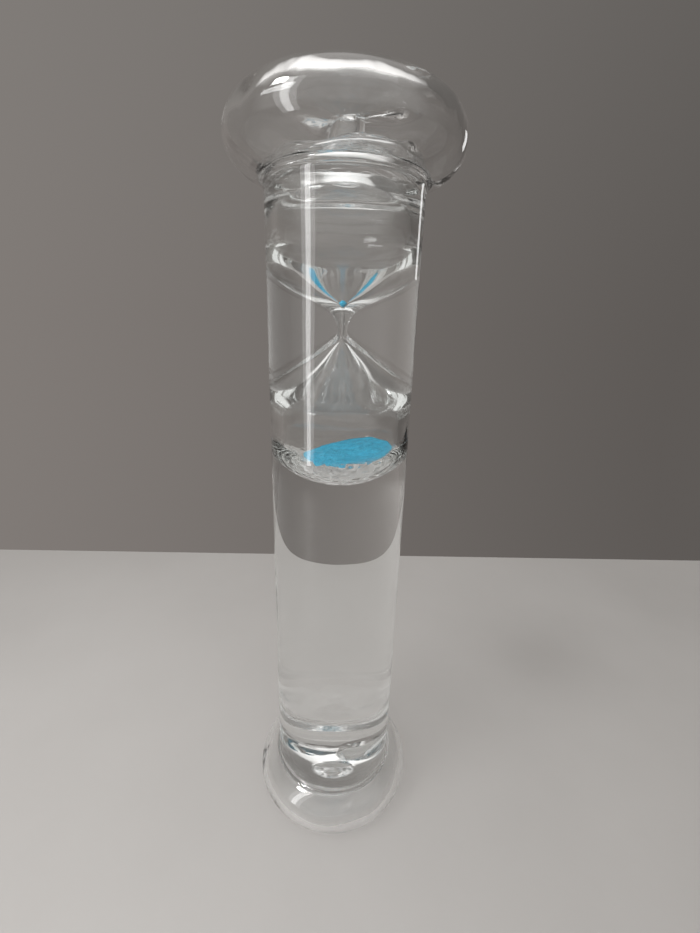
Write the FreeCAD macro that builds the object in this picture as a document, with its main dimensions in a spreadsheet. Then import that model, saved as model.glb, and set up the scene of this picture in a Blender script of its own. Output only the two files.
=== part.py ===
"""Floating hourglass: a sealed glass cylinder of clear liquid in which a small hourglass floats.

The cylinder stands on its foot, a hollow ring blown round the lower end of the chamber. The head is a
wider ring of the same kind, turned over. All sizes are millimetres, +Z is up, and the origin is the
centre of the resting ring.
"""
import FreeCAD, Part

import math
import os

from FreeCAD import Placement, Rotation, Vector

import Sketcher

SIZES = {
    # the chamber: a straight tube closed by a shallow dish at each end
    "overall_height": 248.0,
    "tube_radius": 23.0,
    "tube_wall": 1.5,
    "dish_height": 17.1,      # where the tube ends and the dish begins, above the end face
    "dish_depth": 4.9,
    "dish_knuckle": 3.0,      # radius of the rounded corner between tube and dish
    "liquid_level": 229.0,
    # head and foot: a hollow ring of oval section, with a narrow well down its middle
    "ring_radius": 19.5,      # axis to the crest, where the oval touches the end face
    "foot_width": 11.4,       # half widths of the oval
    "head_width": 13.9,
    "oval_height": 10.3,
    "face_trim": 0.15,        # ground off the oval, which leaves the flat resting ring
    "ring_skin": 2.2,
    "well_radius": 2.4,
    "well_wall": 2.0,
    "flare_height": 5.15,     # half height of the oval by which the well opens out to the crest
    # the filling spout under the lower dish
    "spout_right": 4.2,
    "spout_back": 13.6,
    "spout_root": 16.95,
    "spout_lean": 34.0,       # degrees from straight down, towards the axis
    "spout_length": 12.0,
    "spout_mouth": 5.0,
    "spout_tip": 1.3,
    "spout_wall": 0.8,
    "seal_length": 1.0,
    # the hourglass: two bulbs, each given from the throat outwards
    "throat_height": 188.8,
    "throat_radius": 1.1,
    "upper_length": 45.3,
    "lower_length": 49.0,
    "upper_fillet": 8.0,      # of the glass beside the throat
    "lower_fillet": 3.0,
    "upper_angle": 60.0,      # degrees between the funnel and the axis
    "lower_angle": 46.0,
    "bulb_radius": 20.5,
    "bulb_wall": 1.8,
    "shoulder_end": 28.0,     # where the bulb reaches its full radius
    "crown_depth": 16.0,      # of the closed end, beyond the straight side
    "corner_radius": 12.0,
    "upper_floor": 8.0,       # where the cone of the cavity's floor would meet the axis
    "lower_floor": 2.6,
    "upper_floor_angle": 56.0,
    "lower_floor_angle": 42.0,
    "knot_length": 12.5,      # half length of the thick glass knot at the throat
    "channel_radius": 0.4,
    "channel_length": 7.4,
    "mouth_radius": 1.5,
    "mouth_length": 1.9,
    # the sand
    "sand_height": 148.1,     # of its surface, on the axis
    "sand_slope": 10.5,       # degrees, rising towards +X
    "plug_bottom": 7.5,       # the last sand, above the throat
    "plug_top": 9.3,
}

doc = FreeCAD.newDocument("floating_hourglass")
sheet = doc.addObject("Spreadsheet::Sheet", "Sizes")
for row, (alias, value) in enumerate(SIZES.items(), start=1):
    sheet.set(f"A{row}", alias)
    sheet.set(f"B{row}", str(value))
    sheet.setAlias(f"B{row}", alias)
doc.recompute()

UPRIGHT = Rotation(Vector(1, 0, 0), 90)
TURNED_OVER = Rotation(Vector(1, 0, 0), 180)
ORIGIN, HORIZONTAL_AXIS, VERTICAL_AXIS = -1, -1, -2
START, END, CENTRE = 1, 2, 3


def sized(alias):
    """The expression that reads one cell of the sheet."""
    return f"Sizes.{alias}"


def bind(target, **expressions):
    """Bind properties of an object to expressions; a double underscore stands for a dot."""
    for name, expression in expressions.items():
        target.setExpression(name.replace("__", "."), expression)
    return target


# ---------------------------------------------------------------- primitives and booleans

def cylinder(name, radius, height, base="0"):
    solid = doc.addObject("Part::Cylinder", name)
    return bind(solid, Radius=radius, Height=height, Placement__Base__z=base)


def cone(name, lower, upper, height, base="0"):
    solid = doc.addObject("Part::Cone", name)
    return bind(solid, Radius1=lower, Radius2=upper, Height=height, Placement__Base__z=base)


def boolean(kind, name, base, tool):
    result = doc.addObject(f"Part::{kind}", name)
    result.Base = base
    result.Tool = tool
    return result


def revolved(name, source):
    """The solid swept by a closed outline in the XZ plane, turned round the Z axis."""
    solid = doc.addObject("Part::Revolution", name)
    solid.Source = source
    solid.Axis = Vector(0, 0, 1)
    solid.Base = Vector(0, 0, 0)
    solid.Angle = 360
    solid.Solid = True
    return solid


def turn_over(solid, height):
    """Turn a solid upside down about the X axis and lift its own zero to a height."""
    solid.Placement = Placement(Vector(0, 0, 0), TURNED_OVER)
    return bind(solid, Placement__Base__z=height)


# ---------------------------------------------------------------- outlines

def upright_sketch(name):
    sketch = doc.addObject("Sketcher::SketchObject", name)
    sketch.Placement = Placement(Vector(0, 0, 0), UPRIGHT)
    return sketch


def point(x, y):
    return Vector(x, y, 0)


def arc(centre, radius, first, last):
    """An arc of a circle, counter-clockwise between two angles in radians."""
    return Part.ArcOfCircle(Part.Circle(centre, Vector(0, 0, 1), radius), first, last)


def measure(sketch, kind, *where, to):
    """Add a dimension that is bound to an expression."""
    sketch.addConstraint(Sketcher.Constraint(kind, *where))
    last = len(sketch.Constraints) - 1
    sketch.renameConstraint(last, f"size{last}")
    sketch.setExpression(f"Constraints.size{last}", to)


def relate(sketch, kind, *where):
    sketch.addConstraint(Sketcher.Constraint(kind, *where))


def crown_radius(radius, depth, knuckle):
    """The radius of the shallow crown that runs smoothly into a knuckle."""
    return ((radius - knuckle) ** 2 + depth ** 2 - knuckle ** 2) / (2 * (depth - knuckle))


def dish_outline(name, inset):
    """Half section of a shallow dish with a rounded corner, opening upwards.

    inset is how far the outline lies inside the glass's outer surface.
    """
    radius = SIZES["tube_radius"] - inset
    depth = SIZES["dish_depth"] - inset
    knuckle = SIZES["dish_knuckle"] - inset
    top = SIZES["dish_height"]
    crown = crown_radius(radius, depth, knuckle)
    crown_centre = point(0, top - depth + crown)
    knuckle_centre = point(radius - knuckle, top)
    join = -math.atan2(crown_centre.y - knuckle_centre.y, knuckle_centre.x)
    less = " - Sizes.tube_wall" if inset else ""

    sketch = upright_sketch(name)
    bottom, corner, lid, axis = range(4)
    sketch.addGeometry([
        arc(crown_centre, crown, -math.pi / 2, join),
        arc(knuckle_centre, knuckle, join, 0),
        Part.LineSegment(point(radius, top), point(0, top)),
        Part.LineSegment(point(0, top), point(0, top - depth)),
    ])
    relate(sketch, "Tangent", bottom, END, corner, START)
    relate(sketch, "Coincident", corner, END, lid, START)
    relate(sketch, "Coincident", lid, END, axis, START)
    relate(sketch, "Coincident", axis, END, bottom, START)
    relate(sketch, "PointOnObject", axis, START, VERTICAL_AXIS)
    relate(sketch, "PointOnObject", bottom, START, VERTICAL_AXIS)
    relate(sketch, "PointOnObject", bottom, CENTRE, VERTICAL_AXIS)
    relate(sketch, "Horizontal", lid)
    relate(sketch, "Horizontal", corner, CENTRE, corner, END)
    measure(sketch, "Radius", corner, knuckle, to=f"Sizes.dish_knuckle{less}")
    measure(sketch, "DistanceX", corner, END, radius, to=f"Sizes.tube_radius{less}")
    measure(sketch, "DistanceY", lid, START, top, to="Sizes.dish_height")
    measure(sketch, "DistanceY", axis, END, axis, START, depth, to=f"Sizes.dish_depth{less}")
    return sketch


def bulb_outline(name, side):
    """Half section of one hourglass bulb's outside, from the throat at zero to its closed end.

    Throat fillet, funnel, shoulder, straight side, rounded corner and crown follow each other smoothly.
    """
    radius, throat = SIZES["bulb_radius"], SIZES["throat_radius"]
    fillet = SIZES[f"{side}_fillet"]
    slope = math.radians(SIZES[f"{side}_angle"])
    fillet_centre = point(throat + fillet, 0)
    fillet_edge = fillet_centre + point(-math.cos(slope), math.sin(slope)) * fillet

    sketch = upright_sketch(name)
    sketch.addGeometry([
        Part.LineSegment(point(0, 0), point(throat, 0)),
        arc(fillet_centre, fillet, math.pi - slope, math.pi),
    ])
    waist, neck = range(2)
    funnel = add_bulb_end(sketch, side, 0.0, fillet_edge, slope)
    relate(sketch, "Coincident", waist, START, ORIGIN, START)
    relate(sketch, "Horizontal", waist)
    relate(sketch, "Coincident", waist, END, neck, END)
    relate(sketch, "Tangent", neck, START, funnel, START)
    relate(sketch, "PointOnObject", neck, CENTRE, HORIZONTAL_AXIS)
    sketch.addGeometry(Part.LineSegment(point(0, SIZES[f"{side}_length"]), point(0, 0)))
    close_on_axis(sketch, funnel + 4, waist, START)
    measure(sketch, "DistanceX", waist, END, throat, to="Sizes.throat_radius")
    measure(sketch, "Radius", neck, fillet, to=f"Sizes.{side}_fillet")
    measure(sketch, "DistanceX", funnel + 2, START, radius, to="Sizes.bulb_radius")
    measure(sketch, "Angle", funnel, math.pi / 2 - slope, to=f"(90 - Sizes.{side}_angle) * 1 deg")
    return sketch


def cavity_outline(name, side):
    """Half section of the air in one bulb: a floor cone that starts on the axis, then as outside."""
    radius = SIZES["bulb_radius"] - SIZES["bulb_wall"]
    slope = math.radians(SIZES[f"{side}_floor_angle"])
    start = point(0, SIZES[f"{side}_floor"])

    sketch = upright_sketch(name)
    funnel = add_bulb_end(sketch, side, SIZES["bulb_wall"], start, slope)
    relate(sketch, "PointOnObject", funnel, START, VERTICAL_AXIS)
    sketch.addGeometry(Part.LineSegment(point(0, SIZES[f"{side}_length"] - SIZES["bulb_wall"]), start))
    close_on_axis(sketch, funnel + 4, funnel, START)
    measure(sketch, "DistanceY", funnel, START, start.y, to=f"Sizes.{side}_floor")
    measure(sketch, "DistanceX", funnel + 2, START, radius, to="Sizes.bulb_radius - Sizes.bulb_wall")
    measure(sketch, "Angle", funnel, math.pi / 2 - slope, to=f"(90 - Sizes.{side}_floor_angle) * 1 deg")
    return sketch


def add_bulb_end(sketch, side, inset, start, slope):
    """Add a funnel line, the shoulder, the straight side, the corner and the crown.

    start is where the funnel's line begins, and the returned number is that line's.
    """
    radius = SIZES["bulb_radius"] - inset
    end = SIZES[f"{side}_length"] - inset
    corner = SIZES["corner_radius"] - inset
    shoulder_end = SIZES["shoulder_end"]
    corner_start = SIZES[f"{side}_length"] - SIZES["crown_depth"]

    # The shoulder's radius is the one that lets the funnel touch the straight side's arc.
    across, along = radius - start.x, shoulder_end - start.y
    shoulder = (along * math.sin(slope) - across * math.cos(slope)) / (1 - math.cos(slope))
    crown = crown_radius(radius, end - corner_start, corner)
    shoulder_centre = point(radius - shoulder, shoulder_end)
    corner_centre = point(radius - corner, corner_start)
    crown_centre = point(0, end - crown)
    join = math.atan2(corner_centre.y - crown_centre.y, corner_centre.x)
    shoulder_edge = shoulder_centre + point(math.cos(slope), -math.sin(slope)) * shoulder
    less = " - Sizes.bulb_wall" if inset else ""

    funnel = sketch.GeometryCount
    turn, straight, bend, cap = range(funnel + 1, funnel + 5)
    sketch.addGeometry([
        Part.LineSegment(start, shoulder_edge),
        arc(shoulder_centre, shoulder, -slope, 0),
        Part.LineSegment(point(radius, shoulder_end), point(radius, corner_start)),
        arc(corner_centre, corner, 0, join),
        arc(crown_centre, crown, join, math.pi / 2),
    ])
    relate(sketch, "Tangent", funnel, END, turn, START)
    relate(sketch, "Tangent", turn, END, straight, START)
    relate(sketch, "Tangent", straight, END, bend, START)
    relate(sketch, "Tangent", bend, END, cap, START)
    relate(sketch, "PointOnObject", cap, CENTRE, VERTICAL_AXIS)
    relate(sketch, "PointOnObject", cap, END, VERTICAL_AXIS)
    relate(sketch, "Vertical", straight)
    measure(sketch, "DistanceY", straight, START, shoulder_end, to="Sizes.shoulder_end")
    measure(sketch, "DistanceY", straight, END, corner_start, to=f"Sizes.{side}_length - Sizes.crown_depth")
    measure(sketch, "Radius", bend, corner, to=f"Sizes.corner_radius{less}")
    measure(sketch, "DistanceY", cap, END, end, to=f"Sizes.{side}_length{less}")
    return funnel


def close_on_axis(sketch, cap, first, where):
    """Join the line along the axis, which is the newest one, to the crown and to the outline's first end."""
    axis = sketch.GeometryCount - 1
    relate(sketch, "Coincident", cap, END, axis, START)
    relate(sketch, "Coincident", axis, END, first, where)


def oval_ring(name, width, height):
    """A solid ring of oval section round the crest, and its section.

    width and height are the section's half sizes, as expressions.
    """
    oval = doc.addObject("Part::Ellipse", f"{name}_section")
    oval.Placement = Placement(Vector(0, 0, 0), UPRIGHT)
    bind(
        oval,
        MajorRadius=width,
        MinorRadius=height,
        Placement__Base__x="Sizes.ring_radius",
    )
    return revolved(name, oval), oval


def bulge_ring(name, width, less=""):
    """The ring's outer oval as a solid; less thins it all round."""
    ring, oval = oval_ring(name, f"{width}{less}", f"Sizes.oval_height{less}")
    bind(oval, Placement__Base__z="Sizes.oval_height - Sizes.face_trim")
    return ring


def flare_ring(name, wall="", skin=""):
    """The flatter oval by which the well opens out to the crest."""
    ring, oval = oval_ring(
        name,
        f"Sizes.ring_radius - Sizes.well_radius{wall}",
        f"Sizes.flare_height{skin}",
    )
    bind(oval, Placement__Base__z="Sizes.flare_height - Sizes.face_trim")
    return ring


# ---------------------------------------------------------------- the chamber

def chamber_tube():
    """The straight glass tube, padded upwards from the lower dish to the upper one."""
    body = doc.addObject("PartDesign::Body", "tube_body")
    plane = next(f for f in body.Origin.OriginFeatures if f.Role == "XY_Plane")
    sketch = body.newObject("Sketcher::SketchObject", "tube_section")
    sketch.AttachmentSupport = [(plane, "")]
    sketch.MapMode = "FlatFace"
    for index, less in enumerate(["", " - Sizes.tube_wall"]):
        radius = SIZES["tube_radius"] - index * SIZES["tube_wall"]
        sketch.addGeometry(Part.Circle(point(0, 0), Vector(0, 0, 1), radius))
        relate(sketch, "Coincident", index, CENTRE, ORIGIN, START)
        measure(sketch, "Radius", index, radius, to=f"Sizes.tube_radius{less}")
    pad = body.newObject("PartDesign::Pad", "tube_pad")
    pad.Profile = sketch
    bind(pad, Length="Sizes.overall_height - 2 * Sizes.dish_height")
    body.Tip = pad
    return bind(body, Placement__Base__z="Sizes.dish_height")


def dish_volume(name, inset=0.0):
    return revolved(name, dish_outline(f"{name}_outline", inset))


def spout_cone(name, less=""):
    """The cone of the filling spout, leaning towards the axis as it goes down."""
    solid = cone(name, f"Sizes.spout_mouth{less}", f"Sizes.spout_tip{less}", "Sizes.spout_length")
    return place_on_spout(solid, "0")


def place_on_spout(solid, along):
    """Put a solid of revolution on the spout's axis, some way down from its root."""
    lean = Rotation(Vector(1, 0, 0), 180 - SIZES["spout_lean"])
    solid.Placement = Placement(Vector(0, 0, 0), lean)
    return bind(
        solid,
        Placement__Base__x="Sizes.spout_right",
        Placement__Base__y=f"Sizes.spout_back - ({along}) * sin(Sizes.spout_lean * 1 deg)",
        Placement__Base__z=f"Sizes.spout_root - ({along}) * cos(Sizes.spout_lean * 1 deg)",
    )


def end_wall(name, with_spout_hole):
    """A dish-shaped wall that closes one end of the tube."""
    outer = dish_volume(f"{name}_outer")
    inner = dish_volume(f"{name}_inner", SIZES["tube_wall"])
    wall = boolean("Cut", f"{name}_wall", outer, inner)
    if with_spout_hole:
        hole = spout_cone(f"{name}_hole", " - Sizes.spout_wall")
        wall = boolean("Cut", f"{name}_pierced", wall, hole)
    return wall


def chamber_envelope(name):
    """Everything inside the outer surface of one end of the chamber."""
    dish = dish_volume(f"{name}_dish")
    barrel = cylinder(f"{name}_barrel", sized("tube_radius"), sized("oval_height"), sized("dish_height"))
    return boolean("Fuse", name, barrel, dish)


def ring_core(name):
    """Everything within the crest of a ring."""
    return cylinder(name, sized("ring_radius"), "2 * Sizes.oval_height")


def ring_bulge(name, width):
    """The outer bulge of a ring: a hollow oval from the crest round to the tube."""
    solid = bulge_ring(f"{name}_oval", width)
    above = cylinder(f"{name}_keep", f"Sizes.ring_radius + {width} + 1", "2 * Sizes.oval_height")
    standing = boolean("Common", f"{name}_standing", solid, above)
    hollow = bulge_ring(f"{name}_hollow", width, " - Sizes.ring_skin")
    skin = boolean("Cut", f"{name}_skin", standing, hollow)
    outside = boolean("Cut", f"{name}_outside", skin, chamber_envelope(f"{name}_envelope"))
    return boolean("Cut", name, outside, ring_core(f"{name}_core"))


def below_flare(name):
    """Everything within the crest, up to the middle of the flare's oval."""
    return cylinder(name, sized("ring_radius"), "Sizes.flare_height - Sizes.face_trim")


def ring_well(name):
    """The well of a ring: a thick stem down from the dish, which flares out to the crest."""
    bore = cylinder(f"{name}_bore", sized("well_radius"), "2 * Sizes.oval_height")
    bell = boolean("Cut", f"{name}_bell", below_flare(f"{name}_block"), flare_ring(f"{name}_flare"))
    hole = boolean("Fuse", f"{name}_hole", bore, bell)

    stem = cylinder(f"{name}_stem", "Sizes.well_radius + Sizes.well_wall", "2 * Sizes.oval_height")
    room = cylinder(
        f"{name}_room",
        sized("ring_radius"),
        "2 * Sizes.oval_height",
        "Sizes.flare_height - Sizes.face_trim",
    )
    round_stem = boolean("Cut", f"{name}_round_stem", room, stem)
    inner_flare = flare_ring(f"{name}_inner_flare", " - Sizes.well_wall", " - Sizes.ring_skin")
    in_flare = boolean("Common", f"{name}_in_flare", inner_flare, below_flare(f"{name}_lower_block"))
    hollow = boolean("Fuse", f"{name}_hollow", round_stem, in_flare)

    glass = boolean("Cut", f"{name}_pierced", ring_core(f"{name}_core"), hole)
    glass = boolean("Cut", f"{name}_emptied", glass, hollow)
    return boolean("Cut", name, glass, chamber_envelope(f"{name}_envelope"))


def filling_spout():
    outer = spout_cone("spout_outer")
    bore = spout_cone("spout_bore", " - Sizes.spout_wall")
    hollow = boolean("Cut", "spout_hollow", outer, bore)
    return boolean("Cut", "spout_outside", hollow, chamber_envelope("spout_envelope"))


def spout_seal():
    """The melted bead that closes the spout: a short stub with a round end."""
    stub = cylinder("seal_stub", sized("spout_tip"), sized("seal_length"))
    place_on_spout(stub, "Sizes.spout_length")
    drop = bind(doc.addObject("Part::Sphere", "seal_drop"), Radius=sized("spout_tip"))
    place_on_spout(drop, "Sizes.spout_length + Sizes.seal_length")
    bead = boolean("Fuse", "seal_bead", stub, drop)
    return boolean("Cut", "seal_bead_end", bead, spout_cone("seal_cone"))


# ---------------------------------------------------------------- the hourglass

def bulb_volume(name, side, outline=bulb_outline):
    """One bulb as a solid, standing on the throat or hanging from it."""
    solid = revolved(name, outline(f"{name}_outline", side))
    if side == "lower":
        return turn_over(solid, "Sizes.throat_height")
    return bind(solid, Placement__Base__z="Sizes.throat_height")


def knot_slice(name):
    base = "Sizes.throat_height - Sizes.knot_length"
    return cylinder(name, sized("bulb_radius"), "2 * Sizes.knot_length", base)


def bulb_shell(name, side):
    outer = bulb_volume(f"{name}_outer", side)
    inner = bulb_volume(f"{name}_inner", side, cavity_outline)
    shell = boolean("Cut", f"{name}_wall", outer, inner)
    return boolean("Cut", f"{name}_shell", shell, knot_slice(f"{name}_end"))


def sand_mouth(name):
    """The small funnel in the upper bulb's floor, where the last sand lies."""
    return cone(
        name,
        sized("channel_radius"),
        sized("mouth_radius"),
        sized("mouth_length"),
        "Sizes.throat_height + Sizes.channel_length",
    )


def throat_knot():
    """The thick glass between the bulbs, with the sand channel through it."""
    upper = bulb_volume("knot_upper", "upper")
    lower = bulb_volume("knot_lower", "lower")
    both = boolean("Fuse", "knot_both", upper, lower)
    block = boolean("Common", "knot_block", both, knot_slice("knot_slice"))
    for side in ("upper", "lower"):
        cavity = bulb_volume(f"knot_{side}_cavity", side, cavity_outline)
        block = boolean("Cut", f"knot_{side}_cut", block, cavity)
    channel = cylinder(
        "channel",
        sized("channel_radius"),
        "2 * Sizes.channel_length",
        "Sizes.throat_height - Sizes.channel_length",
    )
    block = boolean("Cut", "knot_bored", block, channel)
    return boolean("Cut", "knot_mouthed", block, sand_mouth("mouth"))


def sand_heap():
    """Sand lying in the lower bulb, its surface sloping up towards +X."""
    inside = bulb_volume("heap_inside", "lower", cavity_outline)
    below = doc.addObject("Part::Box", "heap_below")
    below.Placement = Placement(Vector(0, 0, 0), Rotation(Vector(0, 1, 0), -SIZES["sand_slope"]))
    bind(
        below,
        Length="4 * Sizes.bulb_radius",
        Width="4 * Sizes.bulb_radius",
        Height="2 * Sizes.bulb_radius",
        Placement__Base__x="-2 * Sizes.bulb_radius * (cos(Sizes.sand_slope * 1 deg)"
        " - sin(Sizes.sand_slope * 1 deg))",
        Placement__Base__y="-2 * Sizes.bulb_radius",
        Placement__Base__z="Sizes.sand_height - 2 * Sizes.bulb_radius * (cos(Sizes.sand_slope * 1 deg)"
        " + sin(Sizes.sand_slope * 1 deg))",
    )
    return boolean("Common", "heap_sand", inside, below)


def sand_plug():
    """The last sand, lying in the mouth of the channel."""
    height = "Sizes.plug_top - Sizes.plug_bottom"
    base = "Sizes.throat_height + Sizes.plug_bottom"
    layer = cylinder("plug_layer", sized("bulb_radius"), height, base)
    return boolean("Common", "plug_sand", sand_mouth("plug_mouth"), layer)


def liquid_column():
    """The liquid fills the chamber round the hourglass, up to its level, and the spout's bore."""
    barrel = cylinder(
        "liquid_barrel",
        "Sizes.tube_radius - Sizes.tube_wall",
        "Sizes.liquid_level - Sizes.dish_height",
        sized("dish_height"),
    )
    dish = dish_volume("liquid_dish", SIZES["tube_wall"])
    bore = spout_cone("liquid_bore", " - Sizes.spout_wall")
    filled = boolean("Fuse", "liquid_filled", boolean("Fuse", "liquid_chamber", barrel, dish), bore)
    for side in ("upper", "lower"):
        filled = boolean("Cut", f"liquid_round_{side}", filled, bulb_volume(f"liquid_{side}", side))
    return filled


# ---------------------------------------------------------------- the sub-parts

NODES = {
    "chamber_tube": chamber_tube(),
    "lower_end_wall": end_wall("lower_wall", with_spout_hole=True),
    "upper_end_wall": turn_over(end_wall("upper_wall", with_spout_hole=False), "Sizes.overall_height"),
    "foot_bulb": ring_bulge("foot_bulge", "Sizes.foot_width"),
    "foot_well": ring_well("foot_inner"),
    "head_bulb": turn_over(ring_bulge("head_bulge", "Sizes.head_width"), "Sizes.overall_height"),
    "head_well": turn_over(ring_well("head_inner"), "Sizes.overall_height"),
    "fill_spout": filling_spout(),
    "spout_seal": spout_seal(),
    "liquid": liquid_column(),
    "hourglass_upper_bulb": bulb_shell("upper_bulb", "upper"),
    "hourglass_throat": throat_knot(),
    "hourglass_lower_bulb": bulb_shell("lower_bulb", "lower"),
    "sand_heap": sand_heap(),
    "sand_remainder": sand_plug(),
}

for label, node in NODES.items():
    node.Label = label
doc.recompute()

failed = [o.Label for o in doc.Objects if "Invalid" in o.State or "Error" in o.State]
if failed:
    raise RuntimeError(f"these objects failed to compute: {failed}")
for label, node in NODES.items():
    if node.Shape.isNull() or not node.Shape.isValid() or node.Shape.Volume <= 0:
        raise RuntimeError(f"sub-part {label} has no valid solid")

os.makedirs("parts", exist_ok=True)
for label, node in NODES.items():
    node.Shape.exportStep(os.path.join("parts", f"{label}.step"))
    box = node.Shape.BoundBox
    print(
        f"{label:22s} {len(node.Shape.Solids)} solid  {node.Shape.Volume / 1000:8.3f} cm3"
        f"  z {box.ZMin:7.2f} .. {box.ZMax:7.2f}  x {box.XMin:6.2f} .. {box.XMax:6.2f}"
    )
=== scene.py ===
import math

import bmesh
import bpy
from mathutils import Matrix, Vector, noise


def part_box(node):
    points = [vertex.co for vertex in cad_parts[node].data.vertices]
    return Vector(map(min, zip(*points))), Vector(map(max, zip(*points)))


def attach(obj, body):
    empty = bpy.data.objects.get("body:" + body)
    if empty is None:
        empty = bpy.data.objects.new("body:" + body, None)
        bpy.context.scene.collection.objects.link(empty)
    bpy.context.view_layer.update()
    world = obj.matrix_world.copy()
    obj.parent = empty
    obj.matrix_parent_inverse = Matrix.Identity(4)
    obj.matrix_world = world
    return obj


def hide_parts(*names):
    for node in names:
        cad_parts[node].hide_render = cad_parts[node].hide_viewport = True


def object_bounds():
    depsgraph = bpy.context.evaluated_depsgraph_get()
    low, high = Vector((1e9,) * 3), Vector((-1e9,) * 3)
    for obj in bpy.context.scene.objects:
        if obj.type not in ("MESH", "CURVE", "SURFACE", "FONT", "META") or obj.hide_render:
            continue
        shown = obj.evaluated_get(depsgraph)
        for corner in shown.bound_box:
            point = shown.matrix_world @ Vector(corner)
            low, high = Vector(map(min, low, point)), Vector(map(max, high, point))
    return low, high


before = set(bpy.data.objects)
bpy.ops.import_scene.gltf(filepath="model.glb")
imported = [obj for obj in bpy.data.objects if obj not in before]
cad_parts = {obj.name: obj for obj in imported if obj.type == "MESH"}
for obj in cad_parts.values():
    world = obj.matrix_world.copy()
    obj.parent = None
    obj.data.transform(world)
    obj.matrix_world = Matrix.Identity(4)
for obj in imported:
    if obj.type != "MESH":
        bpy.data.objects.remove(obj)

CAD_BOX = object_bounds()
MM = 0.001
STEPS = 176               # facets round a turned piece
AROUND = [2 * math.pi * i / STEPS for i in range(STEPS)]


def box_mm(node):
    """A CAD node's lowest and highest corners in millimetres."""
    low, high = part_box(node)
    return [v / MM for v in low], [v / MM for v in high]


# ---------------------------------------------------------------- sizes, in millimetres
HEIGHT = CAD_BOX[1][2] / MM
FOOT_OUT = box_mm("foot_bulb")[1][0]
HEAD_OUT = box_mm("head_bulb")[1][0]
CREST_R = box_mm("foot_well")[1][0]
TUBE_R = box_mm("chamber_tube")[1][0]
DISH_Z = box_mm("chamber_tube")[0][2]
DISH_END = HEIGHT - box_mm("upper_end_wall")[1][2]
LEVEL = box_mm("liquid")[1][2]
BULB_R = box_mm("hourglass_upper_bulb")[1][0]
GLASS_TOP = box_mm("hourglass_upper_bulb")[1][2]
GLASS_BOTTOM = box_mm("hourglass_lower_bulb")[0][2]
THROAT_Z = (box_mm("hourglass_throat")[0][2] + box_mm("hourglass_throat")[1][2]) / 2
SAND_BOTTOM = box_mm("sand_heap")[0][2]
PLUG_LOW, PLUG_HIGH = box_mm("sand_remainder")[0][2], box_mm("sand_remainder")[1][2]

TUBE_WALL = 1.5
DISH_KNUCKLE = 3.0
OVAL_H, FACE_TRIM, RING_SKIN = 10.3, 0.15, 2.2
WELL_R, WELL_WALL, FLARE_H = 2.4, 2.0, 5.15
BULB_WALL, THROAT_R = 1.8, 1.1
SHOULDER_END, CROWN_DEPTH, CORNER_R = 28.0, 16.0, 12.0
CHANNEL_R, CHANNEL_LONG = 0.4, 7.4
MOUTH_R, MOUTH_LONG = 1.5, 1.9

# Each bulb, from the throat outwards: angles are between the funnel and the axis.
UPPER = {"length": GLASS_TOP - THROAT_Z, "fillet": 8.0, "angle": 60.0, "floor": 8.0, "floor_angle": 56.0}
LOWER = {"length": THROAT_Z - GLASS_BOTTOM, "fillet": 3.0, "angle": 46.0, "floor": 2.6, "floor_angle": 42.0}


# ---------------------------------------------------------------- half sections: lists of (r, z)

def arc(cr, cz, radius, first, last, count):
    """Points on a circle from one angle to another."""
    spread = (last - first) / count
    angles = [first + spread * i for i in range(count + 1)]
    return [(cr + radius * math.cos(a), cz + radius * math.sin(a)) for a in angles]


def run(a, b, count):
    """Points on a straight line, without its first one."""
    return [(a[0] + (b[0] - a[0]) * i / count, a[1] + (b[1] - a[1]) * i / count) for i in range(1, count + 1)]


def soften(a, corner, b, count=8):
    """Points on a curve that rounds a corner, with both of its ends."""
    out = []
    for i in range(count + 1):
        t = i / count
        weights = ((1 - t) ** 2, 2 * t * (1 - t), t ** 2)
        out.append(tuple(sum(w * p[k] for w, p in zip(weights, (a, corner, b))) for k in range(2)))
    return out


def mirrored(points, middle):
    """The same points above a height, in upward order."""
    return [(r, 2 * middle - z) for r, z in reversed(points)]


def crown_radius(radius, depth, knuckle):
    """The radius of the shallow crown that runs smoothly into a knuckle."""
    return ((radius - knuckle) ** 2 + depth ** 2 - knuckle ** 2) / (2 * (depth - knuckle))


def dish(inset):
    """The lower dish from its pole out to the tube."""
    radius, depth, knuckle = TUBE_R - inset, DISH_Z - DISH_END - inset, DISH_KNUCKLE - inset
    crown = crown_radius(radius, depth, knuckle)
    centre = DISH_Z - depth + crown
    join = -math.atan2(centre - DISH_Z, radius - knuckle)
    crown_points = arc(0, centre, crown, -math.pi / 2, join, 26)
    crown_points[0] = (0, DISH_Z - depth)
    return crown_points + arc(radius - knuckle, DISH_Z, knuckle, join, 0, 16)[1:]


def dish_height(r):
    """The height of the dish's outer face at a radius within its crown."""
    crown = crown_radius(TUBE_R, DISH_Z - DISH_END, DISH_KNUCKLE)
    return DISH_END + crown - math.sqrt(crown ** 2 - r ** 2)


def chamber_section(inset):
    """The chamber's tube and both dishes, a distance inside its outer face."""
    lower = dish(inset)
    upper = mirrored(lower, HEIGHT / 2)
    return lower + run(lower[-1], upper[0], 90)[:-1] + upper


def oval(half_width, half_height, middle, first, last, count):
    """Part of an oval round the crest radius, from one angle to another in degrees."""
    out = []
    for i in range(count + 1):
        a = math.radians(first + (last - first) * i / count)
        out.append((CREST_R + half_width * math.cos(a), middle + half_height * math.sin(a)))
    return out


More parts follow.
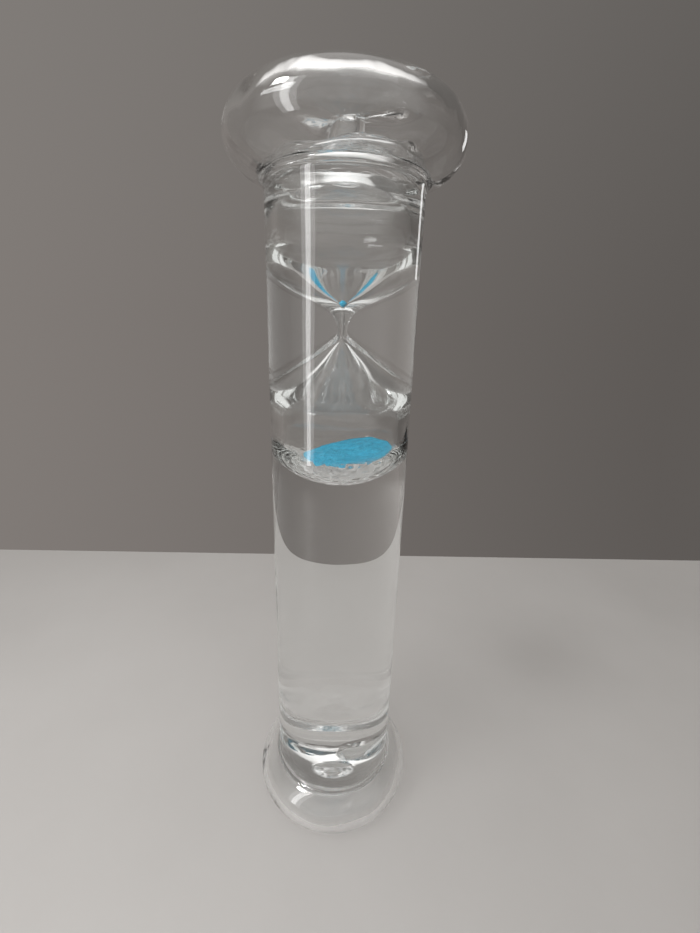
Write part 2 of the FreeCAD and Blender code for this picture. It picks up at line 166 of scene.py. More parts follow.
def ring_outside(width):
    """From the end of the well down its bore, out over the flare and round the bulge to the tube."""
    flare = oval(CREST_R - WELL_R, FLARE_H, FLARE_H - FACE_TRIM, 180, 270, 46)
    bulge = oval(width, OVAL_H, OVAL_H - FACE_TRIM, -90, 62, 84)
    join = OVAL_H - FACE_TRIM + OVAL_H * math.sqrt(1 - ((TUBE_R - CREST_R) / width) ** 2)
    neck = soften(bulge[-1], (TUBE_R, join), (TUBE_R, join + 1.4))
    end = [(0, DISH_END), (WELL_R, DISH_END + 0.03)]
    return end + run(end[-1], flare[0], 10) + flare[1:] + bulge[1:] + neck[1:]


def ring_hollow(width):
    """The closed section of a ring's hollow, with the glass on its left."""
    middle = OVAL_H - FACE_TRIM
    bulge = oval(width - RING_SKIN, OVAL_H - RING_SKIN, middle, 56, -90, 80)
    flare_middle = FLARE_H - FACE_TRIM
    flare = oval(CREST_R - WELL_R - WELL_WALL, FLARE_H - RING_SKIN, flare_middle, 270, 180, 46)
    stem_r = WELL_R + WELL_WALL
    foot_of_stem = (stem_r, DISH_END - 1.6)
    stem = soften(foot_of_stem, (stem_r, dish_height(stem_r)), (stem_r + 1.6, dish_height(stem_r + 1.6)))
    wall = [p for p in dish(0.0) if p[0] > stem_r + 2]
    top = middle + (OVAL_H - RING_SKIN) * math.sqrt(1 - ((TUBE_R - CREST_R) / (width - RING_SKIN)) ** 2)
    corner = soften((TUBE_R, top - 0.5), (TUBE_R, top), bulge[0])
    return bulge + flare[1:] + run(flare[-1], foot_of_stem, 8) + stem[1:] + wall + corner[:-1]


def bulb_end(side, inset, start, slope):
    """From the start of a funnel line to the bulb's closed end on the axis."""
    radius, end, corner = BULB_R - inset, side["length"] - inset, CORNER_R - inset
    corner_start = side["length"] - CROWN_DEPTH
    across, along = radius - start[0], SHOULDER_END - start[1]
    shoulder = (along * math.sin(slope) - across * math.cos(slope)) / (1 - math.cos(slope))
    crown = crown_radius(radius, end - corner_start, corner)
    join = math.atan2(corner_start - (end - crown), radius - corner)
    turn_out = arc(radius - shoulder, SHOULDER_END, shoulder, -slope, 0, 30)
    bend = arc(radius - corner, corner_start, corner, 0, join, 20)
    cap = arc(0, end - crown, crown, join, math.pi / 2, 26)
    cap[-1] = (0, end)
    return run(start, turn_out[0], 14) + turn_out[1:] + run(turn_out[-1], bend[0], 5) + bend[1:] + cap[1:]


def bulb_outside(side):
    """The outside of one bulb from the throat, as (r, distance from the throat)."""
    slope = math.radians(side["angle"])
    neck = arc(THROAT_R + side["fillet"], 0, side["fillet"], math.pi, math.pi - slope, 20)
    return neck + bulb_end(side, 0, neck[-1], slope)


def bulb_inside(side):
    """The inside of one bulb: channel, mouth of the upper one, floor cone and wall."""
    slope = math.radians(side["floor_angle"])
    rise = math.tan(slope)
    channel_end = side["floor"] + CHANNEL_R / rise
    out = [(CHANNEL_R, 0)]
    start = (CHANNEL_R, channel_end)
    if channel_end > CHANNEL_LONG:
        flank = (MOUTH_R - CHANNEL_R) / MOUTH_LONG
        meet = (rise * side["floor"] + CHANNEL_R - flank * CHANNEL_LONG) / (rise - flank)
        out += run(out[-1], (CHANNEL_R, CHANNEL_LONG), 10)
        start = (CHANNEL_R + flank * (meet - CHANNEL_LONG), meet)
    out += run(out[-1], start, 6)
    return out + bulb_end(side, BULB_WALL, start, slope)


def both_bulbs(section_of):
    """Lower and upper bulb in one upward run of (r, z)."""
    down = [(r, THROAT_Z - d) for r, d in reversed(section_of(LOWER))]
    return down + [(r, THROAT_Z + d) for r, d in section_of(UPPER)][1:]


def split_at(points, level):
    """The same run with a point added where it passes a height."""
    out = [points[0]]
    for a, b in zip(points, points[1:]):
        if (a[1] - level) * (b[1] - level) < 0:
            t = (level - a[1]) / (b[1] - a[1])
            out.append((a[0] + (b[0] - a[0]) * t, level))
        out.append(b)
    return out


# ---------------------------------------------------------------- meshes

def wobble(point, scale, seed):
    """Smooth noise at a point, about -1 to 1."""
    return noise.noise(Vector(point) / scale + Vector((seed, 3.1 * seed, 7.7)))


def facing(section, k, closed):
    """The direction in which a section faces at one of its points, as (r, z)."""
    last = len(section) - 1
    before = section[k - 1] if k > 0 or closed else section[0]
    after = section[(k + 1) % len(section)] if k < last or closed else section[last]
    dr, dz = after[0] - before[0], after[1] - before[1]
    long = math.hypot(dr, dz)
    return dz / long, -dr / long


def skin(bm, rings, slots, closed=False):
    """Join rings of points, each a full turn or a single point on the axis, with smooth faces."""
    made = [[bm.verts.new(Vector(p) * MM) for p in ring] for ring in rings]
    pairs = list(zip(made, made[1:]))
    if closed:
        pairs.append((made[-1], made[0]))
    for (a, b), slot in zip(pairs, slots):
        for i in range(STEPS):
            j = (i + 1) % STEPS
            if len(a) == 1:
                corners = (a[0], b[j], b[i])
            elif len(b) == 1:
                corners = (a[i], a[j], b[0])
            else:
                corners = (a[i], a[j], b[j], b[i])
            face = bm.faces.new(corners)
            face.material_index = slot
            face.smooth = True


def turn(bm, section, slot_of=None, wave=(0.0, 20.0, 1), closed=False):
    """Revolve a run of (r, z) in millimetres. Going up, its faces look outwards.

    wave is the depth of the glass's unevenness, a number or a function of z, then its scale and its seed.
    """
    depth, scale, seed = wave
    rings = []
    for k, (r, z) in enumerate(section):
        if r < 1e-6:
            rings.append([(0, 0, z)])
            continue
        out_r, out_z = facing(section, k, closed)
        size = (depth(z) if callable(depth) else depth) * min(1.0, r / 6)
        ring = []
        for a in AROUND:
            push = wobble((r * math.cos(a), r * math.sin(a), z), scale, seed) * size
            at_r, at_z = r + push * out_r, min(max(z + push * out_z, 0.0), HEIGHT)
            ring.append((at_r * math.cos(a), at_r * math.sin(a), at_z))
        rings.append(ring)
    ends = section[1:] + section[:1]
    slots = [slot_of((a[1] + b[1]) / 2) if slot_of else 0 for a, b in zip(section, ends)]
    skin(bm, rings, slots, closed)


def piece(name, bm, materials, body, slot, *nodes):
    """Finish a mesh as a piece that rides on a body and stands for CAD nodes."""
    mesh = bpy.data.meshes.new(name)
    bm.to_mesh(mesh)
    bm.free()
    for material in materials:
        mesh.materials.append(material)
    obj = bpy.data.objects.new(name, mesh)
    bpy.context.scene.collection.objects.link(obj)
    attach(obj, body)
    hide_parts(*nodes)


# ---------------------------------------------------------------- materials

class Nodes:
    """A short way to write a material's node tree."""

    def __init__(self, name):
        self.material = bpy.data.materials.new(name)
        self.material.use_nodes = True
        self.tree = self.material.node_tree
        self.tree.nodes.clear()
        self.out = self.tree.nodes.new("ShaderNodeOutputMaterial")
        self.place = self.add("TexCoord").outputs["Object"]

    def add(self, kind, links=None, **values):
        node = self.tree.nodes.new(f"ShaderNode{kind}")
        for key, value in values.items():
            if key in node.inputs:
                node.inputs[key].default_value = value
            else:
                setattr(node, key, value)
        for key, source in (links or {}).items():
            self.tree.links.new(source, node.inputs[key])
        return node

    def noise(self, scale, **values):
        return self.add("TexNoise", {"Vector": self.place}, Scale=scale, **values).outputs["Fac"]

    def ramp(self, factor, stops):
        node = self.add("ValToRGB", {"Fac": factor})
        elements = node.color_ramp.elements
        while len(elements) < len(stops):
            elements.new(0.5)
        for element, (position, colour) in zip(elements, stops):
            element.position = position
            element.color = (*colour, 1)
        return node.outputs["Color"]

    def bump(self, height, distance, strength=1.0, normal=None):
        links = {"Height": height}
        if normal is not None:
            links["Normal"] = normal
        return self.add("Bump", links, Strength=strength, Distance=distance * MM).outputs["Normal"]

    def surface(self, shader):
        self.tree.links.new(shader.outputs[0], self.out.inputs["Surface"])
        return self.material


PIT_SCALE = 420.0         # pits per metre in the hourglass's thick corner


def glass(name, ior, wave, wave_scale, smudge=0.0, pits=0.0):
    """A clear glass or liquid face, with the slow waves and faint smudges that it has.

    Shadow rays and diffuse rays go straight through, so that light reaches what lies inside.
    """
    n = Nodes(name)
    slow = n.noise(wave_scale, Detail=2.0, Roughness=0.45)
    normal = n.bump(slow, wave)
    if pits:
        cells = n.add("TexVoronoi", {"Vector": n.place}, Scale=PIT_SCALE).outputs["Distance"]
        normal = n.bump(cells, pits, normal=normal)
    film = n.add("MapRange", {"Value": n.noise(38.0, Detail=6.0, Roughness=0.62)})
    for key, value in (("From Min", 0.5), ("From Max", 0.8), ("To Min", 0.0), ("To Max", smudge)):
        film.inputs[key].default_value = value
    body = n.ramp(slow, [(0.3, (0.993, 0.997, 0.996)), (0.7, (0.996, 1.0, 0.999))])
    links = {"Base Color": body, "Roughness": film.outputs["Result"], "Normal": normal}
    solid = n.add("BsdfPrincipled", links, IOR=ior)
    solid.inputs["Transmission Weight"].default_value = 1.0
    path = n.add("LightPath")
    rays = {0: path.outputs["Is Shadow Ray"], 1: path.outputs["Is Diffuse Ray"]}
    either = n.add("Math", rays, operation="MAXIMUM")
    clear = n.add("BsdfTransparent", Color=(0.93, 0.93, 0.93, 1))
    mix = n.add("MixShader", {0: either.outputs[0], 1: solid.outputs[0], 2: clear.outputs[0]})
    return n.surface(mix)


def unseen_side(name):
    """The wetted side of the liquid: the glass next to it bends the light, so this lets it through."""
    n = Nodes(name)
    colour = n.ramp(n.noise(25.0, Detail=1.0), [(0.2, (0.996, 0.998, 0.998)), (0.8, (1.0, 1.0, 1.0))])
    return n.surface(n.add("BsdfTransparent", {"Color": colour}))


def sand(name):
    """Dyed craft sand: teal-blue grains with lighter and darker ones among them."""
    n = Nodes(name)
    grain = n.add("TexVoronoi", {"Vector": n.place}, Scale=2600.0)
    tone = n.ramp(grain.outputs["Color"], [
        (0.0, (0.004, 0.185, 0.325)), (0.35, (0.006, 0.305, 0.490)),
        (0.7, (0.012, 0.375, 0.580)), (1.0, (0.060, 0.530, 0.700)),
    ])
    cloud = n.ramp(n.noise(120.0, Detail=4.0), [(0.3, (0.82, 0.82, 0.82)), (0.7, (1.15, 1.15, 1.15))])
    mixed = n.add("Mix", data_type="RGBA", blend_type="MULTIPLY")
    mixed.inputs[0].default_value = 1.0
    n.tree.links.new(tone, mixed.inputs[6])
    n.tree.links.new(cloud, mixed.inputs[7])
    normal = n.bump(grain.outputs["Distance"], 0.12, strength=0.9)
    links = {"Base Color": mixed.outputs[2], "Normal": normal}
    return n.surface(n.add("BsdfPrincipled", links, Roughness=0.75))


def pale_floor(name):
    """Matt, faintly mottled stone."""
    n = Nodes(name)
    cloud = n.noise(6.0, Detail=5.0, Roughness=0.55)
    colour = n.ramp(cloud, [(0.3, (0.425, 0.411, 0.398)), (0.7, (0.470, 0.456, 0.443))])
    normal = n.bump(n.noise(260.0, Detail=4.0), 0.2, strength=0.25)
    links = {"Base Color": colour, "Normal": normal}
    return n.surface(n.add("BsdfPrincipled", links, Roughness=0.55))


# A face's index is glass or liquid against what lies on its other side. The hourglass has two that are
# given: high against the liquid, for the bold outline in the photograph, and low at the inner face of
# its upper funnel, where glass against air would show the last sand many times over.
AIR_GLASS, LIQUID_GLASS, AIR_LIQUID = 1.5, 1.125, 1.333
LIQUID_BULB, AIR_FUNNEL = 1.17, 1.30
tube_out = glass("tube_outer_face", AIR_GLASS, 0.02, 45, smudge=0.03)
tube_wet = glass("tube_wetted_face", LIQUID_GLASS, 0.05, 70)
tube_dry = glass("tube_dry_face", AIR_GLASS, 0.05, 90)
ring_face = glass("ring_outer_face", AIR_GLASS, 0.10, 70, smudge=0.04)
ring_back = glass("ring_inner_face", AIR_GLASS, 0.22, 110)
spout_in = glass("spout_inner_face", LIQUID_GLASS, 0.10, 150)
bulb_wet = glass("hourglass_wetted_face", LIQUID_BULB, 0.06, 120)
bulb_dry = glass("hourglass_dry_face", AIR_GLASS, 0.06, 120)
bulb_in = glass("hourglass_inner_face", AIR_GLASS, 0.10, 110)
bulb_funnel = glass("hourglass_funnel_face", AIR_FUNNEL, 0.10, 110)
bulb_rim = glass("hourglass_thick_corner", AIR_GLASS, 0.10, 110, pits=0.28)
surface = glass("liquid_surface", AIR_LIQUID, 0.02, 80)
wetted = unseen_side("liquid_wetted_side")
blue = sand("blue_sand_grains")

# ---------------------------------------------------------------- the filling spout
SPOUT_ROOT = (4.2, 13.6, 16.95)
SPOUT_LEAN = math.radians(34)
SPOUT_LONG, SPOUT_MOUTH, SPOUT_TIP, SPOUT_WALL, SEAL_LONG = 12.0, 5.0, 1.3, 0.8, 1.0
spout_frame = Matrix.Translation(SPOUT_ROOT) @ Matrix.Rotation(math.pi - SPOUT_LEAN, 4, "X")


def on_spout(r, along, a):
    """A point at a radius from the spout's axis, at a distance along it and an angle round it."""
    return spout_frame @ Vector((r * math.cos(a), r * math.sin(a), along))


def spout_point(less, along, a):
    """A point of the spout's cone, thinned by less, at a distance along it and an angle round it."""
    r = SPOUT_MOUTH + (SPOUT_TIP - SPOUT_MOUTH) * min(along / SPOUT_LONG, 1.0) - less
    return on_spout(r, along, a)


def spout_start(less, above, a):
    """How far along the spout its cone comes down to a height above the dish's outer face."""
    low, high = 0.0, SPOUT_LONG
    while high - low > 0.001:
        middle = (low + high) / 2
        p = spout_point(less, middle, a)
        if p.z > dish_height(math.hypot(p.x, p.y)) + above:
            low = middle
        else:
            high = middle
    return low


def spout_rings(less, above, count):
    """The spout's cone as rings, from a height above the dish, after the point that closes its wide end."""
    starts = [spout_start(less, above, a) for a in AROUND]
    rings = []
    for k in range(count + 1):
        reach = [start + (SPOUT_LONG - start) * k / count for start in starts]
        rings.append([spout_point(less, along, a) for along, a in zip(reach, AROUND)])
    return [[sum(rings[0], Vector()) / STEPS]] + rings


def spout_solid():
    """The spout without its bore, with the round bead of its seal, from within the dish's wall down."""
    stub = run((SPOUT_TIP, 0), (SPOUT_TIP, SEAL_LONG), 3)
    drop = arc(0, SEAL_LONG, SPOUT_TIP, 0, math.pi / 2, 10)[1:-1]
    rings = spout_rings(0.0, TUBE_WALL / 2, 24)
    for r, along in stub + drop:
        rings.append([on_spout(r, SPOUT_LONG + along, a) for a in AROUND])
    rings.append([on_spout(0, SPOUT_LONG + SEAL_LONG + SPOUT_TIP, 0)])
    bm = bmesh.new()
    skin(bm, rings, [0] * len(rings))
    return bm


def without(bm, tool):
    """The first mesh's solid with the second one's taken away."""
    parts = []
    for source in (bm, tool):
        mesh = bpy.data.meshes.new("boolean")
        source.to_mesh(mesh)
        source.free()
        obj = bpy.data.objects.new("boolean", mesh)
        bpy.context.scene.collection.objects.link(obj)
        parts.append(obj)
    cut = parts[0].modifiers.new("cut", "BOOLEAN")
    cut.operation, cut.solver, cut.object = "DIFFERENCE", "EXACT", parts[1]
    result = bpy.data.meshes.new_from_object(parts[0].evaluated_get(bpy.context.evaluated_depsgraph_get()))
    for obj in parts:
        bpy.data.meshes.remove(obj.data)
    return result


# ---------------------------------------------------------------- the chamber: one fused glass
RING_TOP = 21.5           # the tube's own surface starts above the foot and ends below the head
TUBE_WAVE, RING_WAVE = 0.10, 0.14  # the outer face's unevenness, and how much more the rings have
WAVE_END, WAVE_FADE = 30, 10       # from either end: where the rings' share stops, and how long it fades
TUBE_OUT, TUBE_WET, TUBE_DRY, RING_FACE, RING_BACK, SPOUT_BORE = range(6)


def outer_slot(z):
    """The outer face's material at a height."""
    return TUBE_OUT if RING_TOP < z < HEIGHT - RING_TOP else RING_FACE


def outer_wave(z):
    """The rings are more uneven than the tube."""
    from_end = min(z, HEIGHT - z)
    return TUBE_WAVE + RING_WAVE * min(1.0, max(0.0, (WAVE_END - from_end) / WAVE_FADE))


# The air in the foot is turned as a solid and the spout is cut out of it. Turned inside out, that is
# the face of the glass round it.
air = bmesh.new()
turn(air, list(reversed(ring_hollow(FOOT_OUT - CREST_R))), wave=(0.60, 14, 8), closed=True)
bm = bmesh.new()
foot_hollow = without(air, spout_solid())
bm.from_mesh(foot_hollow)
bpy.data.meshes.remove(foot_hollow)
bmesh.ops.reverse_faces(bm, faces=bm.faces)
for face in bm.faces:
    face.material_index = RING_BACK
    face.smooth = True

foot_side = ring_outside(FOOT_OUT - CREST_R)
head_side = mirrored(ring_outside(HEAD_OUT - CREST_R), HEIGHT / 2)
outside = foot_side + run(foot_side[-1], head_side[0], 84)[:-1] + head_side
turn(bm, outside, outer_slot, wave=(outer_wave, 26, 1))
inside = split_at(chamber_section(TUBE_WALL), LEVEL)
turn(bm, list(reversed(inside)), lambda z: TUBE_WET if z < LEVEL else TUBE_DRY, wave=(0.22, 26, 2))
head_hollow = mirrored(ring_hollow(HEAD_OUT - CREST_R), HEIGHT / 2)
turn(bm, head_hollow, lambda z: RING_BACK, wave=(1.0, 12, 9), closed=True)
BORE_GAP, BORE_POINT = 0.1, 0.3    # glass above the bore, and the length of its pointed end
bore = spout_rings(SPOUT_WALL, TUBE_WALL - BORE_GAP, 20)
bore.append([on_spout(0, SPOUT_LONG + BORE_POINT, 0)])
skin(bm, bore[::-1], [SPOUT_BORE] * len(bore))
chamber_faces = [tube_out, tube_wet, tube_dry, ring_face, ring_back, spout_in]
piece("chamber_glass", bm, chamber_faces, "chamber", "chamber_glass",
      "chamber_tube", "lower_end_wall", "upper_end_wall", "foot_bulb", "foot_well", "head_bulb", "head_well",
      "fill_spout", "spout_seal")

# ---------------------------------------------------------------- the hourglass
BULB_WET, BULB_DRY, BULB_IN, BULB_RIM, BULB_FUNNEL = range(5)
RIM_LOW, RIM_HIGH = SAND_BOTTOM - 1, SAND_BOTTOM + 9.5
FUNNEL_LOW, FUNNEL_HIGH = THROAT_Z + 4, THROAT_Z + 22
BULB_WAVE, SAND_SHARE = 0.30, 0.15        # the inner face's unevenness, and the part of it under the sand
BED_DEPTH, BED_FADE = 5, 4                # the sand's bed, and the height in which the unevenness grows


def inner_slot(z):
    """The inner face's material at a height."""
    if RIM_LOW < z < RIM_HIGH:
        return BULB_RIM
    return BULB_FUNNEL if FUNNEL_LOW < z < FUNNEL_HIGH else BULB_IN


def inner_wave(z):
    """The inner face is even where the sand lies on it."""
    return BULB_WAVE * min(1.0, SAND_SHARE + max(0.0, z - SAND_BOTTOM - BED_DEPTH) / BED_FADE)


bm = bmesh.new()
shell = both_bulbs(bulb_outside)
turn(bm, split_at(shell, LEVEL), lambda z: BULB_WET if z < LEVEL else BULB_DRY, wave=(0.08, 12, 11))
hollow = list(reversed(both_bulbs(bulb_inside)))
turn(bm, hollow, inner_slot, wave=(inner_wave, 10, 12))
bulb_faces = [bulb_wet, bulb_dry, bulb_in, bulb_rim, bulb_funnel]
piece("hourglass_glass", bm, bulb_faces, "hourglass", "hourglass_glass",
      "hourglass_upper_bulb", "hourglass_throat", "hourglass_lower_bulb")

# ---------------------------------------------------------------- the liquid
GAP = 0.16                # between the liquid's drawn sides and the glass
MENISCUS, MENISCUS_STEPS = 0.35, 8        # how far the surface climbs at the glass
SIDES_END = LEVEL - 1     # the drawn sides stop under the surface
SURFACE, SIDE = range(2)
barrel = [p for p in chamber_section(TUBE_WALL + GAP) if p[1] < SIDES_END]
round_glass = [(r + GAP, z) for r, z in shell if z < SIDES_END]
round_glass[0] = (0, GLASS_BOTTOM - GAP)
outer = TUBE_R - TUBE_WALL - GAP
inner = next(r for r, z in split_at(shell, LEVEL) if z == LEVEL) + GAP
meniscus = []
for i in range(MENISCUS_STEPS + 1):
    t = i / MENISCUS_STEPS
    meniscus.append((outer + (inner - outer) * t, LEVEL - MENISCUS + 4 * MENISCUS * (t - 0.5) ** 2))
liquid = barrel + meniscus + list(reversed(round_glass))
bm = bmesh.new()
turn(bm, liquid, lambda z: SURFACE if z > LEVEL - MENISCUS - 0.05 else SIDE)
piece("clear_liquid", bm, [surface, wetted], "chamber", "liquid", "liquid")

# ---------------------------------------------------------------- the sand
SAND_Z, SAND_SLOPE = 148.1, math.tan(math.radians(10.5))
SAND_TILT = 0.10          # its surface also falls a little towards the front
SAND_INSET = 0.12         # between the sand and the glass
SAND_WIDEST = 18.5        # the largest radius that the sand may reach
RIM_START, RIM_STEP, RIM_RAGGED = 0.5, 0.05, 0.35     # the search for its rim, and how uneven the rim is
PEAK, SHOULDER, SETTLED = (1.0, 8, 3, 40), (0.7, -5, -1, 22), 0.4     # height, x, y, spread; and a drop
LOWEST_SIDE = LOWER["length"] - CROWN_DEPTH - 2
floor_line = [(r, THROAT_Z - d) for r, d in bulb_inside(LOWER) if d > LOWEST_SIDE]
floor_line.sort(key=lambda p: p[1])


def bowl(r):
    """The height of the bulb's inner bottom at a radius."""
    for (r0, z0), (r1, z1) in zip(floor_line, floor_line[1:]):
        if r0 <= r <= r1 and r1 > r0:
            return z0 + (z1 - z0) * (r - r0) / (r1 - r0)
    return floor_line[-1][1]


def mound(x, y, height, at_x, at_y, spread):
    """The height of a soft mound at a point."""
    return height * math.exp(-((x - at_x) ** 2 + (y - at_y) ** 2) / spread)


def heap(x, y):
    """The height of the heap's surface: a slope with a soft shoulder and a peak."""
    return SAND_Z + SAND_SLOPE * x + SAND_TILT * y + mound(x, y, *PEAK) + mound(x, y, *SHOULDER) - SETTLED


def grains(x, y):
    """The roughness of the heap's surface: clumps and single grains."""
    return noise.noise(Vector((x, y, 1.7)) / 1.9) * 0.30 + noise.noise(Vector((x, y, 4.2)) / 0.55) * 0.14


bm = bmesh.new()
ANGLES, RADII = 150, 46
top, bottom = [], []
for i in range(ANGLES):
    a = 2 * math.pi * i / ANGLES
    ca, sa = math.cos(a), math.sin(a)
    rim = RIM_START
    while rim < SAND_WIDEST - 0.1 and bowl(rim) + SAND_INSET < heap(rim * ca, rim * sa):
        rim += RIM_STEP
    rim = min(rim + noise.noise(Vector((ca * 3, sa * 3, 0.3))) * RIM_RAGGED, SAND_WIDEST)
    edge_z = bowl(rim) + SAND_INSET
    for j in range(1, RADII):
        t = j / RADII
        x, y = rim * t * ca, rim * t * sa
        low = bowl(rim * t) + SAND_INSET
        high = max(low + 0.02, heap(x, y) + grains(x, y) * (1 - t ** 6))
        top.append(bm.verts.new((x * MM, y * MM, high * MM)))
        bottom.append(bm.verts.new((x * MM, y * MM, low * MM)))
    edge = bm.verts.new((rim * ca * MM, rim * sa * MM, edge_z * MM))
    top.append(edge)
    bottom.append(edge)
peak_vert = bm.verts.new((0, 0, heap(0, 0) * MM))
pole_vert = bm.verts.new((0, 0, (SAND_BOTTOM + SAND_INSET) * MM))
for i in range(ANGLES):
    k = (i + 1) % ANGLES
    bm.faces.new((peak_vert, top[i * RADII], top[k * RADII]))
    bm.faces.new((pole_vert, bottom[k * RADII], bottom[i * RADII]))
    for j in range(RADII - 1):
        a, b = i * RADII + j, k * RADII + j
        bm.faces.new((top[a], top[a + 1], top[b + 1], top[b]))
        bm.faces.new((bottom[b], bottom[b + 1], bottom[a + 1], bottom[a]))
for face in bm.faces:
    face.smooth = True
piece("sand_heap_grains", bm, [blue], "hourglass", "blue_sand", "sand_heap")

# The last sand fills the channel's mouth, a cone, and ends in a low mound.
PLUG_GAP, MOUND, MOUND_STEPS = 0.08, 0.7, 8
mouth_base = THROAT_Z + CHANNEL_LONG


def mouth_radius(z):
    """The last sand's radius in the channel's mouth at a height."""
    return CHANNEL_R + (MOUTH_R - CHANNEL_R) * (z - mouth_base) / MOUTH_LONG - PLUG_GAP


plug_foot = (mouth_radius(PLUG_LOW), PLUG_LOW)
plug_rim = (mouth_radius(PLUG_HIGH - MOUND), PLUG_HIGH - MOUND)
plug = [(0, PLUG_LOW), plug_foot] + run(plug_foot, plug_rim, 8)
for i in range(1, MOUND_STEPS):
    a = math.pi / 2 * i / MOUND_STEPS
    plug.append((plug_rim[0] * math.cos(a), plug_rim[1] + MOUND * math.sin(a)))
plug.append((0, PLUG_HIGH))
bm = bmesh.new()
turn(bm, plug, wave=(0.25, 0.6, 14))
piece("sand_remainder_grains", bm, [blue], "hourglass", "blue_sand", "sand_remainder")

# ---------------------------------------------------------------- floor and light
FLOOR_SIDE, FLOOR_FRONT, FLOOR_BACK, FLOOR_Z = 1.1, -1.1, 0.190, -0.0002
floor_mesh = bpy.data.meshes.new("floor")
floor_corners = [(-FLOOR_SIDE, FLOOR_FRONT, FLOOR_Z), (FLOOR_SIDE, FLOOR_FRONT, FLOOR_Z),
                 (FLOOR_SIDE, FLOOR_BACK, FLOOR_Z), (-FLOOR_SIDE, FLOOR_BACK, FLOOR_Z)]
floor_mesh.from_pydata(floor_corners, [], [(0, 1, 2, 3)])
floor_mesh.materials.append(pale_floor("pale_floor"))
floor_object = bpy.data.objects.new("floor", floor_mesh)
bpy.context.scene.collection.objects.link(floor_object)

# The world is the backdrop: grey, pale overhead and lighter on the window's side. In front of the object,
# where the camera stands, it is a pale room that the glass reflects.
world = bpy.data.worlds.new("studio")
bpy.context.scene.world = world
world.use_nodes = True
tree = world.node_tree
tree.nodes.clear()
direction = tree.nodes.new("ShaderNodeTexCoord")
split = tree.nodes.new("ShaderNodeSeparateXYZ")
tree.links.new(direction.outputs["Generated"], split.inputs[0])
ramp = tree.nodes.new("ShaderNodeValToRGB")
tree.links.new(split.outputs["Z"], ramp.inputs["Fac"])
BACKDROP = [(0.0, (0.160, 0.145, 0.135)), (0.80, (0.175, 0.165, 0.155)), (0.87, (0.85, 0.83, 0.81)),
            (1.0, (1.25, 1.22, 1.19))]
elements = ramp.color_ramp.elements
elements.new(0.5)
elements.new(0.6)
for element, (position, colour) in zip(elements, BACKDROP):
    element.position = position
    element.color = (*colour, 1)


def fade(axis, start, end, first, last):
    """A number that changes evenly between two values of the direction along an axis."""
    node = tree.nodes.new("ShaderNodeMapRange")
    tree.links.new(split.outputs[axis], node.inputs["Value"])
    for key, value in (("From Min", start), ("From Max", end), ("To Min", first), ("To Max", last)):
        node.inputs[key].default_value = value
    return node.outputs["Result"]


shaded = tree.nodes.new("ShaderNodeVectorMath")
shaded.operation = "SCALE"
tree.links.new(ramp.outputs["Color"], shaded.inputs[0])
tree.links.new(fade("X", -0.6, 0.6, 1.35, 0.70), shaded.inputs["Scale"])
room = tree.nodes.new("ShaderNodeMix")
room.data_type = "RGBA"
tree.links.new(fade("Y", -0.50, -0.08, 1.0, 0.0), room.inputs[0])
tree.links.new(shaded.outputs[0], room.inputs[6])
room.inputs[7].default_value = (0.86, 0.84, 0.82, 1)
sky = tree.nodes.new("ShaderNodeBackground")
tree.links.new(room.outputs[2], sky.inputs["Color"])
world_out = tree.nodes.new("ShaderNodeOutputWorld")
tree.links.new(sky.outputs[0], world_out.inputs["Surface"])


def panel(name, place, aim, width, height, power):
    """A soft box: a rectangular lamp that faces a point and can't be seen itself."""
    lamp = bpy.data.lights.new(name, "AREA")
    lamp.shape = "RECTANGLE"
    lamp.size, lamp.size_y = width, height
    lamp.energy = power
    obj = bpy.data.objects.new(name, lamp)
    obj.location = place
    obj.rotation_euler = (Vector(aim) - Vector(place)).to_track_quat("-Z", "Y").to_euler()
    obj.visible_camera = False
    bpy.context.scene.collection.objects.link(obj)
    return obj


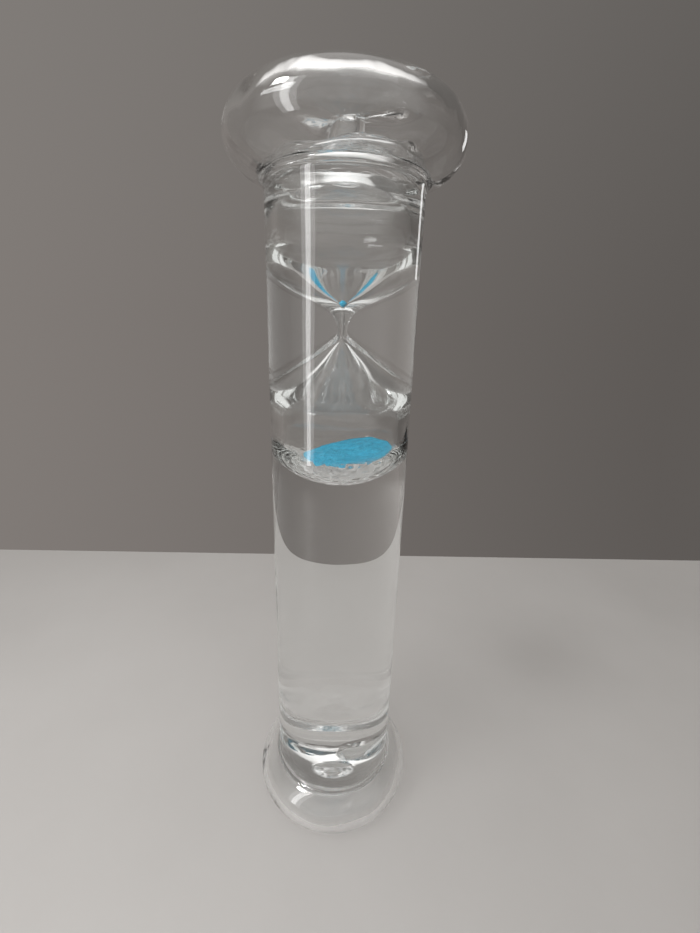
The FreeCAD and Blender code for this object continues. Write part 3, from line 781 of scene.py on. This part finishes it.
window = panel("window_strip", (-0.235, -0.205, 0.235), (0, 0, 0.12), 0.11, 0.46, 0.34)
window.visible_transmission = False
core = panel("window_core", (-0.226, -0.197, 0.232), (0, 0, 0.12), 0.040, 0.42, 0.36)
core.visible_transmission = False
panel("high_window", (-0.30, -0.16, 0.50), (0, 0, 0.2), 0.09, 0.09, 0.85)
overhead = panel("overhead", (0.05, -0.15, 0.95), (0, 0, 0), 0.35, 0.30, 0.15)
overhead.visible_glossy = False
edge = panel("edge_light", (0.33, 0.30, 0.30), (0, 0, 0.20), 0.06, 0.12, 0.06)
edge.visible_transmission = False

# ---------------------------------------------------------------- camera
# Fitted to the floor's tile joints, the tube's edges and the two end rings in the photograph.
EYE = (0.0, -0.14352, 0.19144)
PITCH, YAW, ROLL = math.radians(18.39), math.radians(1.482), math.radians(-1.669)
FOCAL_PIXELS, LONG_SIDE, SENSOR = 436.1, 933, 36.0
ahead = Vector((math.sin(YAW) * math.cos(PITCH), math.cos(YAW) * math.cos(PITCH), -math.sin(PITCH)))
level = Vector((math.cos(YAW), -math.sin(YAW), 0))
plumb = ahead.cross(level)
right = math.cos(ROLL) * level + math.sin(ROLL) * plumb
below = -math.sin(ROLL) * level + math.cos(ROLL) * plumb
camera_data = bpy.data.cameras.new("camera")
camera_data.sensor_width = SENSOR
camera_data.lens = SENSOR * FOCAL_PIXELS / LONG_SIDE
camera_data.clip_start, camera_data.clip_end = 0.005, 20.0
camera = bpy.data.objects.new("camera", camera_data)
camera.matrix_world = Matrix((
    (right.x, -below.x, -ahead.x, EYE[0]),
    (right.y, -below.y, -ahead.y, EYE[1]),
    (right.z, -below.z, -ahead.z, EYE[2]),
    (0, 0, 0, 1),
))
bpy.context.scene.collection.objects.link(camera)
bpy.context.scene.camera = camera

# Light crosses many faces of glass on its way, so it needs many bounces.
scene = bpy.context.scene
scene.view_settings.view_transform = "Standard"
scene.cycles.max_bounces = 40
scene.cycles.transmission_bounces = 40
scene.cycles.glossy_bounces = 40
scene.cycles.diffuse_bounces = 3
scene.cycles.transparent_max_bounces = 64
scene.cycles.caustics_reflective = False
scene.cycles.caustics_refractive = False
scene.cycles.sample_clamp_indirect = 6.0
scene.cycles.use_denoising = True
